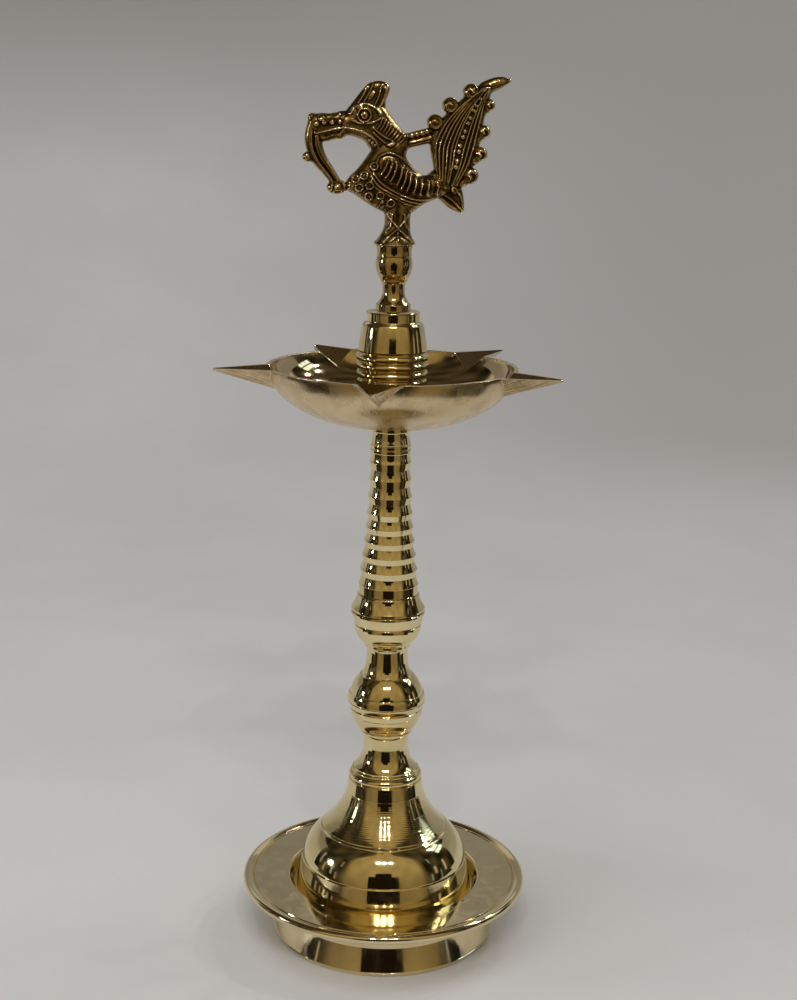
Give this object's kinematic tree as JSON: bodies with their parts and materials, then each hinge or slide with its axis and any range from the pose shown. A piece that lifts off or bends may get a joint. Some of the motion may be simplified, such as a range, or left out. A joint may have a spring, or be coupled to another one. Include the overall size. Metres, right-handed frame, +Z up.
{
  "type": "standing oil lamp",
  "caption": "Standing brass oil lamp: drip plate with dome, turned stem, open bowl with pointed wick spouts, bell cap and peacock finial; its sections unscrew.",
  "frame": {"origin": "on the lamp's axis, in the plane that the foot ring stands on", "axes": "+Z up along the lamp's axis; the bird lies in the XZ plane with its head towards -X; -Y is the lamp's front"},
  "size_m": [0.145, 0.144, 0.38],
  "materials": {
    "base_plate": "satin polished brass",
    "base_dome": "mirror polished brass",
    "base_washer": "zinc plated, dulled",
    "base_nut": "zinc plated, dulled",
    "lower_stud": "threaded brass",
    "lower_stem": "mirror polished brass",
    "middle_stud": "threaded brass",
    "upper_stem": "mirror polished brass",
    "oil_bowl": "brushed and filed brass",
    "bowl_seal": "matt fibre washer, oil soaked",
    "bowl_stud": "threaded brass",
    "bell_cap": "mirror polished brass",
    "finial_stud": "threaded brass",
    "finial_neck": "polished brass, darkened in the recesses",
    "peacock": "cast brass, dark in the recesses and bright on the high points"
  },
  "bodies": {
    "base": {"base_plate": "base_plate", "base_dome": "base_dome", "base_washer": "base_washer", "base_nut": "base_nut"},
    "lower_thread": {"lower_stud": "lower_stud"},
    "lower_section": {"lower_stem": "lower_stem"},
    "middle_thread": {"middle_stud": "middle_stud"},
    "upper_section": {"upper_stem": "upper_stem"},
    "bowl": {"oil_bowl": "oil_bowl", "bowl_seal": "bowl_seal"},
    "bowl_thread": {"bowl_stud": "bowl_stud"},
    "bell": {"bell_cap": "bell_cap"},
    "finial_thread": {"finial_stud": "finial_stud"},
    "finial": {"finial_neck": "finial_neck", "peacock": "peacock"}
  },
  "joints": [
    {"name": "lower_rise", "type": "slide", "parent": "base", "child": "lower_thread", "axis": [0, 0, 1], "range_m": [0, 0.009]},
    {"name": "lower_unscrew", "type": "hinge", "parent": "lower_thread", "child": "lower_section", "pos_m": [0, 0, 0.0759], "axis": [0, 0, 1], "range_deg": [0, 2160]},
    {"name": "middle_rise", "type": "slide", "parent": "lower_section", "child": "middle_thread", "axis": [0, 0, 1], "range_m": [0, 0.009]},
    {"name": "middle_unscrew", "type": "hinge", "parent": "middle_thread", "child": "upper_section", "pos_m": [0, 0, 0.1514], "axis": [0, 0, 1], "range_deg": [0, 2160]},
    {"name": "bowl_turn", "type": "hinge", "parent": "upper_section", "child": "bowl", "pos_m": [0, 0, 0.23505], "axis": [0, 0, 1], "continuous": true},
    {"name": "bell_rise", "type": "slide", "parent": "upper_section", "child": "bowl_thread", "axis": [0, 0, 1], "range_m": [0, 0.009]},
    {"name": "bell_unscrew", "type": "hinge", "parent": "bowl_thread", "child": "bell", "pos_m": [0, 0, 0.2402], "axis": [0, 0, 1], "range_deg": [0, 2160]},
    {"name": "finial_rise", "type": "slide", "parent": "bell", "child": "finial_thread", "axis": [0, 0, 1], "range_m": [0, 0.006]},
    {"name": "finial_unscrew", "type": "hinge", "parent": "finial_thread", "child": "finial", "pos_m": [0, 0, 0.2835], "axis": [0, 0, 1], "range_deg": [0, 2160]}
  ],
  "couplings": [
    {"joint": "lower_unscrew", "follows": "lower_rise", "rad_per_m": 4188.8},
    {"joint": "middle_unscrew", "follows": "middle_rise", "rad_per_m": 4188.8},
    {"joint": "bell_unscrew", "follows": "bell_rise", "rad_per_m": 4188.8},
    {"joint": "finial_unscrew", "follows": "finial_rise", "rad_per_m": 6283.2}
  ]
}
